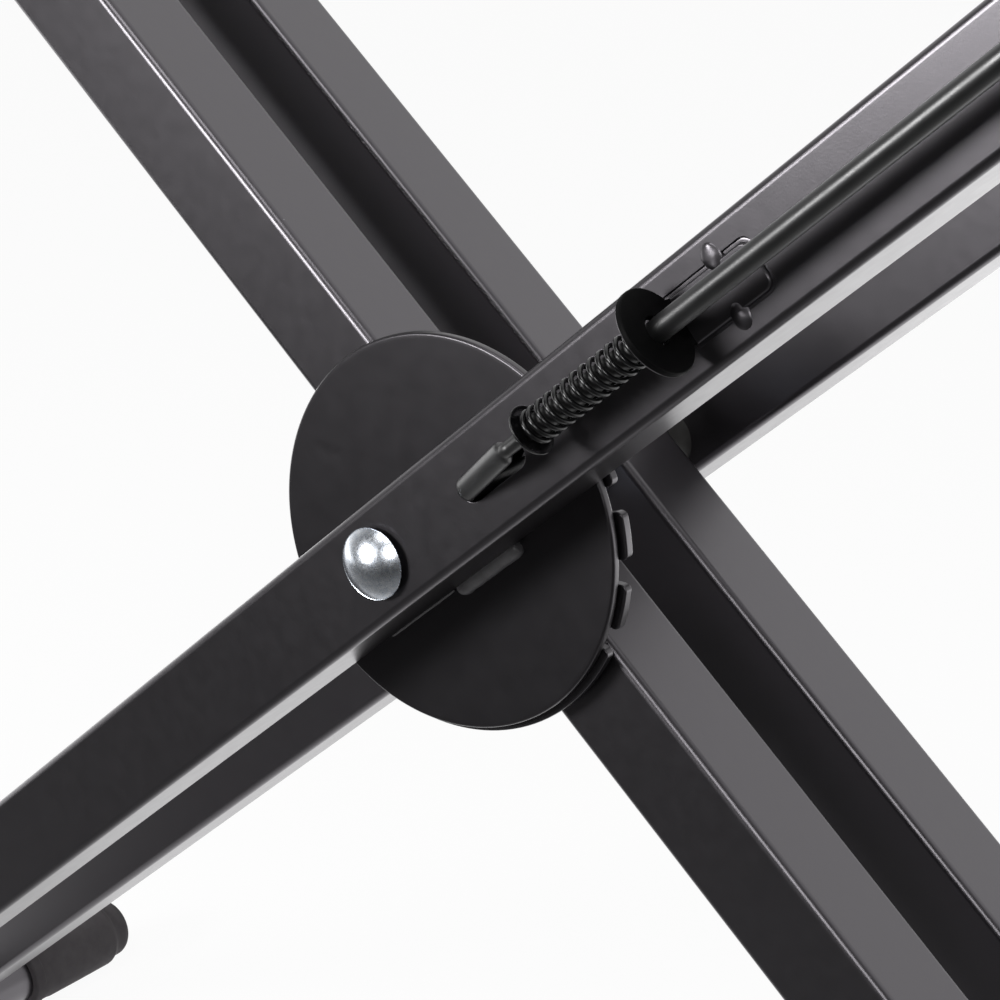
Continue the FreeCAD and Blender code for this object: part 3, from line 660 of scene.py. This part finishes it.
for place, turn in elbow:
    bent = (turn - fall) / (math.pi / 2 - fall)
    wide = pin_half_wide + (thumb_half_wide - pin_half_wide) * math.sqrt(1 - bent ** 2)
    stations.append((place, thumb_half_thick, wide, turn))
for rise, share in ((1.6, 1.0), (0.5, 0.92), (0.0, 0.68)):
    place = (pin_place, pin_end - rise * MM, 0)
    stations.append((place, thumb_half_thick * share, pin_half_wide * share, math.pi / 2))
thumb = drawn("thumb", 32, stations)
pull_rod = joined("sprung_rod", [rod, thumb])
settle(pull_rod, rod_place, "lock_rod", "rod_black", ["pull_rod"], smooth=50)

# %% [markdown]
# ## Spring washer
# A thin washer sits on the neck and takes the spring. The spring's push has dished it, so its rim
# stands up like a shallow cup and shows two bright lines. It is turned from a curved profile.

# %% Turn the dished washer
washer_profile = [(77.4, 2.1), (77.25, 3.6), (77.2, 5.2), (77.35, 6.3), (77.7, 6.95), (78.3, 7.15),
                  (78.55, 7.0), (78.4, 6.6), (78.2, 6.0), (78.1, 5.2), (78.1, 3.6), (78.15, 2.1), (77.4, 2.1)]
dished_washer = turned("dished_washer", [(x * MM, r * MM) for x, r in washer_profile], 56)
apply_modifier(dished_washer, "SUBSURF", levels=1, render_levels=1)
settle(dished_washer, rod_place, "lock_rod", "spring_black", ["spring_seat"], smooth=60)

# %% [markdown]
# ## Return spring
# Fourteen turns of round wire push the rod's tip into its notch. The turns at both ends are wound
# closer, which a screw of one pitch can't give, so the wire is a curve through points on the coil, with
# a round bevel, made into a mesh. It stays on the leg.

# %% Wind the spring
wire_radius, coil_radius = 0.7 * MM, 4.5 * MM
coil_start, coil_end = 79.4 * MM, 123 * MM
turns, close_turns, close_pitch, points_per_turn = 14, 1, 1.95 * MM, 30
mid_pitch = (coil_end - coil_start - 2 * close_turns * close_pitch) / (turns - 2 * close_turns)


def coil_place(turn):
    """Distance along the rod after a number of turns."""
    ends = min(turn, close_turns) + max(turn - turns + close_turns, 0)
    middle = min(max(turn - close_turns, 0), turns - 2 * close_turns)
    return coil_start + ends * close_pitch + middle * mid_pitch


wire = bpy.data.curves.new("spring_wire", "CURVE")
wire.dimensions = "3D"
wire.bevel_depth = wire_radius
wire.bevel_resolution = 5
wire.use_fill_caps = True
line = wire.splines.new("POLY")
line.points.add(turns * points_per_turn)
for k, point in enumerate(line.points):
    turn = k / points_per_turn
    angle = 2 * math.pi * turn
    point.co = (coil_place(turn), coil_radius * math.cos(angle), coil_radius * math.sin(angle), 1)
spring = bpy.data.objects.new("wound_spring", wire)
bpy.context.scene.collection.objects.link(spring)
only(spring)
bpy.ops.object.convert(target="MESH")
spring = bpy.context.object
clean(spring)
settle(spring, rod_place, "outer_frame", "spring_black", ["return_spring"], smooth=60)
lower_guide_place, upper_guide_place, pull_travel = 124 * MM, 330 * MM, 18 * MM
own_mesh(spring)

# %% [markdown]
# ## Rod guides
# Each guide is a round lug bent up from a base plate that sits in a window of the leg. The coat has
# filled the seam round the plate to a shallow groove, and two tack welds stand in it as low drops. The
# lug is turned with rolled edges. The plates are bevelled blocks whose rim is inset to slope, which
# gives the seam a bright line. The tacks are flat spheres pulled out of round. All are joined to one
# piece, and the guide is made twice.

# %% Build a guide and place both
lug_radius, lug_hole, lug_thick, lug_edge = 12 * MM, 3.8 * MM, 2 * MM, 0.5 * MM
base_length, base_half, base_corner, base_edge = 26.7 * MM, 6.7 * MM, 3 * MM, 0.6 * MM
base_top, skirt_top, skirt_out = -0.1 * MM, 0.75 * MM, 1.05 * MM
base_thick, skirt_thick, skirt_edge = 1.8 * MM, 1.0 * MM, 0.1 * MM
slope_out, slope_rise = 0.7 * MM, 0.13 * MM
foot_out, foot_tall, lug_tilt, foot_tilt = 2.2 * MM, 7.4 * MM, -0.2, 0.9
tack_places = ((16.2 * MM, -7.5 * MM), (18.2 * MM, 8.0 * MM))
tack_radius, tack_sink, tack_flat, tack_long = 3.0 * MM, 0.25 * MM, 0.32, 1.25
tack_pushes, tack_push, tack_reach, tack_rise = 6, 0.4, 2 * MM, 0.4 * MM


def plate_block(name, low, high, half, top, thick, corner, edge):
    """A flat block under the leg's front wall with two round corners at its far end and a sloping rim."""
    piece = start(name, bpy.ops.mesh.primitive_cube_add, size=1,
                  location=((low + high) / 2, front_y + top + thick / 2, 0),
                  scale=(high - low, thick, 2 * half))
    open_piece(piece)
    pick(piece, "EDGE", lambda e: all(v.co.x > high - 0.01 * MM for v in e.verts)
         and abs(e.verts[0].co.y - e.verts[1].co.y) > thick / 2)
    bpy.ops.mesh.bevel(offset=corner, segments=6)
    pick(piece, "FACE", lambda f: f.normal.y < -0.9)
    bpy.ops.mesh.inset(thickness=slope_out, depth=slope_rise)
    close_piece()
    soften(piece, edge, 2)
    return piece


def tack(name, u, v, seed):
    """A flat drop at a place on the leg, pushed a little out of round."""
    draw = random.Random(seed)
    piece = start(name, bpy.ops.mesh.primitive_uv_sphere_add, segments=20, ring_count=12,
                  radius=tack_radius, location=(u, front_y + tack_sink, v), scale=(1, tack_flat, tack_long))
    open_piece(piece)
    for k in range(tack_pushes):
        angle = 2 * math.pi * (k + draw.random()) / tack_pushes
        spot = Vector((u + tack_radius * math.cos(angle), front_y - tack_rise,
                       v + tack_radius * math.sin(angle)))
        mesh = bmesh.from_edit_mesh(piece.data)
        nearest = min(mesh.verts, key=lambda p: (p.co - spot).length).index
        pick(piece, "VERT", lambda p: p.index == nearest)
        push = tuple(draw.uniform(-tack_push, tack_push) * MM for axis in range(3))
        bpy.ops.transform.translate(value=push, use_proportional_edit=True, proportional_size=tack_reach,
                                    proportional_edit_falloff="SMOOTH")
    close_piece()
    apply_modifier(piece, "SUBSURF", levels=1, render_levels=1)
    return piece


def paint_shade_up_leg(piece, tilt):
    """Coat a piece and paint shade, a dull black, on the faces that look up the leg by more than a tilt."""
    piece.data.materials.append(leg_coat)
    piece.data.materials.append(lug_painted_shade)
    open_piece(piece)
    pick(piece, "FACE", lambda f: f.normal.x > tilt)
    piece.active_material_index = 1
    bpy.ops.object.material_slot_assign()
    close_piece()


def rod_guide(name, u, seed):
    """A whole guide at a distance along the leg."""
    lug = turned(name + "_lug", [(u, lug_hole + lug_edge), (u, lug_radius - lug_edge)]
                 + arc(u + lug_edge, lug_radius - lug_edge, lug_edge, 180, 90, 3)
                 + arc(u + lug_thick - lug_edge, lug_radius - lug_edge, lug_edge, 90, 0, 3)
                 + arc(u + lug_thick - lug_edge, lug_hole + lug_edge, lug_edge, 0, -90, 3)
                 + arc(u + lug_edge, lug_hole + lug_edge, lug_edge, 270, 180, 3), 72)
    only(lug)
    lug.matrix_world = Matrix.Translation((0, rod_y, 0))
    bpy.ops.object.transform_apply(location=True, rotation=False, scale=False)
    # painted shade on the lug's faces that look up the leg
    paint_shade_up_leg(lug, lug_tilt)
    foot = start(name + "_foot", bpy.ops.mesh.primitive_cube_add, size=1,
                 location=(u + lug_thick / 2, front_y - foot_out, 0),
                 scale=(lug_thick, foot_tall, 2 * base_half))
    soften(foot, lug_edge, 2)
    # painted shade on the foot's face that looks up the leg
    paint_shade_up_leg(foot, foot_tilt)
    far = u + lug_thick + base_length
    base = plate_block(name + "_base", u, far, base_half, base_top, base_thick, base_corner, base_edge)
    skirt = plate_block(name + "_skirt", u - skirt_out, far + skirt_out, base_half + skirt_out, skirt_top,
                        skirt_thick, base_corner + skirt_out, skirt_edge)
    tacks = [tack(name + "_tack", u + run, out, seed + k) for k, (run, out) in enumerate(tack_places)]
    for piece in [base, skirt] + tacks:
        piece.data.materials.append(leg_coat)
    return joined(name, [lug, foot, base, skirt] + tacks)


lower_guide = rod_guide("lower_guide", lower_guide_place, 11)
settle(lower_guide, outer_pair, "outer_frame", "leg_paint", ["lower_rod_guide"], smooth=40)
upper_guide = rod_guide("upper_guide", upper_guide_place, 21)
settle(upper_guide, outer_pair, "outer_frame", "leg_paint", ["upper_rod_guide"], smooth=40)

# %% [markdown]
# ## Pull grip
# The grip is a moulded finger bar across the top of the rod. A plain bar would slip, so it has a waist
# for each finger and shallow rings near its ends. The bar and its boss are both turned and joined.

# %% Turn the finger bar and its boss
grip_radius, grip_half, grip_round, finger_waist = 8 * MM, 32 * MM, 5 * MM, 0.8 * MM
bar_steps, ring_depth, ring_zone = 48, 0.35 * MM, 0.78
straight = grip_half - grip_round
bar_profile = [(-grip_half, 0)] + arc(-straight, grip_radius - grip_round, grip_round, 180, 90, 7)
for k in range(1, bar_steps):
    x = -straight + 2 * straight * k / bar_steps
    waist = finger_waist * math.sin(math.pi * abs(x) / straight) ** 2
    ring_cut = ring_depth if abs(x) > straight * ring_zone and k % 2 else 0
    bar_profile.append((x, grip_radius - waist - ring_cut))
bar_profile += arc(straight, grip_radius - grip_round, grip_round, 90, 0, 7) + [(grip_half, 0)]
bar = turned("finger_bar", bar_profile, 48)
only(bar)
bar.matrix_world = Matrix.Rotation(-math.pi / 2, 4, "Y")
bpy.ops.object.transform_apply(location=False, rotation=True, scale=False)
boss_radius, boss_length, boss_round, boss_bore = 7 * MM, 20 * MM, 1.2 * MM, rod_radius + 0.05 * MM
boss_body_end, boss_end = -6 * MM, -5 * MM
boss = turned("grip_boss", [(-boss_length, boss_bore)]
              + arc(-boss_length + boss_round, boss_radius - boss_round, boss_round, 180, 90, 4)
              + [(boss_body_end, boss_radius), (boss_end, boss_bore), (-boss_length, boss_bore)], 40)
grip_place = Matrix.Translation((rod_top - rod_radius, rod_y, 0))
settle(joined("finger_grip", [bar, boss]), outer_pair @ grip_place, "lock_rod", "grip_plastic",
       ["pull_grip"], smooth=40)

# %% [markdown]
# ## Foot caps
# Four rubber caps stand on the floor. Each has a bead at its mouth, a body and a smaller rounded nose,
# and a worn flat underneath. The cap is turned once for each bar end, and the points that come out
# below the floor are squeezed flat onto it.

# %% Turn the foot caps
bar_bore, cap_radius, nose_radius = 12.55 * MM, 16.3 * MM, 14.4 * MM
cap_mouth, cap_step, cap_end, cap_floor = 112.5 * MM, 163.4 * MM, 177.5 * MM, 173.5 * MM
mouth_bead, bead_width, nose_round = 0.5 * MM, 5 * MM, 5.5 * MM
step_curve = ((0, 0), (0.9, 0.12), (1.8, 0.5), (2.6, 1.05), (3.4, 1.5), (4.3, 1.78), (5.4, 1.88))
mouth_round, groove_slope, groove_end, body_start = 0.8 * MM, 0.5 * MM, 12 * MM, 13 * MM
bead_end = cap_mouth + bead_width
cap_profile = ([(cap_mouth, bar_bore)]
               + arc(cap_mouth + mouth_round, cap_radius - mouth_round, mouth_round, 180, 90, 4)
               + [(bead_end, cap_radius), (bead_end + groove_slope, cap_radius - mouth_bead),
                  (cap_mouth + groove_end, cap_radius - mouth_bead),
                  (cap_mouth + body_start, cap_radius - 0.15 * MM)]
               + [(cap_step - 20 * MM, cap_radius)]
               + [(cap_step + run * MM, cap_radius - drop * MM) for run, drop in step_curve]
               + arc(cap_end - nose_round, nose_radius - nose_round, nose_round, 90, 0, 8)
               + [(cap_end, 0), (cap_floor, 0), (cap_floor, bar_bore), (cap_mouth, bar_bore)])
bar_drop = 14 * MM
lower_reach, upper_reach = 522 * MM, 480 * MM
pairs = (("outer", outer_pair, 1), ("inner", inner_pair, -1))
ends = (("front", -1), ("rear", 1))


def facing(outward):
    return Matrix.Rotation(outward * math.pi / 2, 4, "Z")


for pair, place, side in pairs:
    for end, outward in ends:
        cap = turned(f"{pair}_rubber_foot_{end}", cap_profile, 64)
        spot = Matrix.Translation((-side * lower_reach, 0, -bar_drop))
        settle(cap, place @ spot @ facing(outward), f"{pair}_frame", "rubber",
               [f"{pair}_foot_cap_{end}"], smooth=35)
        open_piece(cap)
        pick(cap, "VERT", lambda v: v.co.z < 0)
        bpy.ops.transform.resize(value=(1, 1, 0), center_override=(0, 0, 0))
        close_piece()

# %% [markdown]
# ## Arm sleeves
# The keyboard lies on four ribbed rubber sleeves, each with a raised lip at its outer end. The ribs are
# rings, so the whole sleeve is one turned profile, and a small bevel rounds the ribs as moulding does.

# %% Turn the arm sleeves
sleeve_radius, lip_out, lip_width, lip_round = 15.5 * MM, 19 * MM, 8 * MM, 2 * MM
sleeve_mouth, sleeve_end, sleeve_floor = 90 * MM, 170 * MM, 166 * MM
rib_pitch, groove_width, groove_depth, rib_count = 7.5 * MM, 2.5 * MM, 1 * MM, 9
rib_edge = 0.22 * MM
lip_start = sleeve_end - lip_width
grooves = []
for k in range(rib_count - 1, -1, -1):
    edge = lip_start - rib_pitch / 2 - k * rib_pitch
    grooves += [(edge - groove_width, sleeve_radius),
                (edge - groove_width * 0.8, sleeve_radius - groove_depth),
                (edge - groove_width * 0.2, sleeve_radius - groove_depth), (edge, sleeve_radius)]
sleeve_profile = ([(sleeve_mouth, bar_bore), (sleeve_mouth, sleeve_radius)] + grooves
                  + [(lip_start - 0.6 * MM, sleeve_radius), (lip_start, sleeve_radius + 0.6 * MM)]
                  + arc(lip_start + lip_round, lip_out - lip_round, lip_round, 180, 90, 5)
                  + arc(sleeve_end - lip_round, lip_out - lip_round, lip_round, 90, 0, 5)
                  + [(sleeve_end, 6 * MM), (sleeve_end - 0.8 * MM, 5 * MM), (sleeve_end - 0.8 * MM, 0)]
                  + [(sleeve_floor, 0), (sleeve_floor, bar_bore), (sleeve_mouth, bar_bore)])
for pair, place, side in pairs:
    for end, outward in ends:
        sleeve = turned(f"{pair}_rubber_sleeve_{end}", sleeve_profile, 64)
        soften(sleeve, rib_edge, 2, 25)
        spot = Matrix.Translation((side * upper_reach, 0, bar_drop))
        settle(sleeve, place @ spot @ facing(outward), f"{pair}_frame", "rubber",
               [f"{pair}_arm_sleeve_{end}"], smooth=35)

# %% [markdown]
# ## Floor
# The stand was shown on white. The floor is a plain pale sheet that still takes the stand's shadow:
# what the camera sees of it is mostly white, with a share of lit surface mixed in.

# %% Lay the floor
floor_size = 16
floor = start("floor", bpy.ops.mesh.primitive_plane_add, size=floor_size)
open_piece(floor)
bpy.ops.mesh.select_all(action="SELECT")
bpy.ops.mesh.subdivide(number_cuts=3)
close_piece()
print("floor:", floor_size, "m")

# %% [markdown]
# ## What reflections see of the floor
# Satin black is drawn by what it mirrors, and each zone of the floor is mirrored by other faces.
# Reflections see it dark in front, grey nearer the stand, white behind it and whiter farther back, and
# bright on the far left for the bolt's dome. Painting the legs instead would look wrong from any other
# side.

# %% Give the floor its zones
front_grey, middle_grey, grey_from, grey_to = 0.03, 0.2, -0.75, -0.2
back_white, white_from, white_to = 1.55, -0.23, 0.19
far_white, far_from, far_to = 2.8, 0.0, 1.25
left_white, left_from, left_to, left_front, left_back = 2.2, -1.05, -1.5, -1.1, -0.75
floor_white = bpy.data.materials.new("floor_white")
floor_white.use_nodes = True
tree = floor_white.node_tree
tree.nodes.clear()
place = add(tree, "ShaderNodeSeparateXYZ")
tree.links.new(add(tree, "ShaderNodeTexCoord").outputs["Object"], place.inputs[0])
depth, width = place.outputs["Y"], place.outputs["X"]
shine = spread(tree, depth, front_grey, middle_grey, grey_from, grey_to)
zones = [spread(tree, depth, 0, back_white, white_from, white_to),
         spread(tree, depth, 0, far_white, far_from, far_to),
         math_node(tree, "MULTIPLY", spread(tree, width, left_white, 0, left_to, left_from),
                   spread(tree, depth, 0, 1, left_front, left_back))]
for zone in zones:
    shine = math_node(tree, "MAXIMUM", shine, zone)
print("floor zones:", len(zones) + 1)

# %% [markdown]
# ## White floor with a shadow
# A floor lit to white would need more light than the stand should get. So the camera's rays meet a glow
# of about 1 with a share of plain lit surface, which keeps the shadow, and reflections meet the zones.

# %% Blend the glow and the lit surface
seen_share, seen_white, floor_tone = 0.9, 1.05, (0.8, 0.8, 0.8, 1)


def ray_masks(tree):
    """Two masks: rays from the camera, and reflections."""
    rays = add(tree, "ShaderNodeLightPath").outputs
    mirrored = math_node(tree, "MAXIMUM", rays["Is Glossy Ray"], rays["Is Transmission Ray"])
    return rays["Is Camera Ray"], mirrored


def choose(tree, mask, without, within):
    """One value, or another where a mask is 1."""
    node = add(tree, "ShaderNodeMix", data_type="FLOAT")
    tree.links.new(mask, node.inputs[0])
    feed(tree, without, node.inputs[2])
    feed(tree, within, node.inputs[3])
    return node.outputs[0]


seen, mirrored = ray_masks(tree)
white = add(tree, "ShaderNodeEmission")
tree.links.new(choose(tree, seen, shine, seen_white), white.inputs["Strength"])
lit = add(tree, "ShaderNodeBsdfDiffuse")
lit.inputs["Color"].default_value = floor_tone
blend = add(tree, "ShaderNodeMixShader")
glow = math_node(tree, "MAXIMUM", math_node(tree, "MULTIPLY", seen, seen_share), mirrored)
tree.links.new(glow, blend.inputs[0])
tree.links.new(lit.outputs[0], blend.inputs[1])
tree.links.new(white.outputs[0], blend.inputs[2])
tree.links.new(blend.outputs[0], add(tree, "ShaderNodeOutputMaterial").inputs[0])
floor.data.materials.append(floor_white)
print("floor glow:", seen_white, "for the camera")

# %% [markdown]
# ## World
# The world is the rest of the studio: white to the camera, an even dim fill for the light that it
# gives, and for reflections dark in front, where the room is, and white behind, where the backdrop
# hangs.

# %% Set the world
fill, sky_white, room_dark, room_white, room_from, room_to = 0.17, 1.0, 0.04, 1.0, -0.45, 0.2
world = bpy.data.worlds.new("studio")
bpy.context.scene.world = world
world.use_nodes = True
tree = world.node_tree
sky = tree.nodes["Background"]
sky.inputs["Color"].default_value = (1, 1, 1, 1)
place = add(tree, "ShaderNodeSeparateXYZ")
tree.links.new(add(tree, "ShaderNodeTexCoord").outputs["Generated"], place.inputs[0])
shine = spread(tree, place.outputs["Y"], room_dark, room_white, room_from, room_to)
seen, mirrored = ray_masks(tree)
strength = choose(tree, seen, choose(tree, mirrored, fill, shine), sky_white)
tree.links.new(strength, sky.inputs["Strength"])
print("world fill:", fill)

# %% [markdown]
# ## Lamps
# The lamps are placed by what each face mirrors. A small softbox stands low in front and to the left.
# The upper front leg mirrors it, the lower leg misses it, and the rod and the near legs keep its light
# off what lies behind them. A weaker box overhead draws the bright lines on the rounded edges, and one
# at the right gives the bolt its second light.

# %% Place the softboxes
def softbox(name, azimuth, elevation, distance, size, radiance):
    """A soft lamp aimed at the hub; azimuth 0 is in front, 90 to the left."""
    a, e = math.radians(azimuth), math.radians(elevation)
    away = Vector((-math.sin(a) * math.cos(e), -math.cos(a) * math.cos(e), math.sin(e)))
    bpy.ops.object.select_all(action="DESELECT")
    bpy.ops.object.light_add(type="AREA", location=Vector((0, 0, pivot_z)) + away * distance)
    lamp = bpy.context.object
    lamp.name = name
    lamp.rotation_euler = (-away).to_track_quat("-Z", "Y").to_euler()
    lamp.data.shape = "RECTANGLE"
    lamp.data.size, lamp.data.size_y = size
    lamp.data.energy = radiance * math.pi * size[0] * size[1]
    print(name, "at", [round(x, 2) for x in lamp.location], round(lamp.data.energy, 1), "W")


softbox("front_box", 25, 11.5, 1.5, (0.6, 0.4), 23)
softbox("over_box", 0, 58, 1.5, (0.7, 0.5), 5.5)
softbox("right_box", -28, 24, 1.5, (0.5, 0.5), 7)
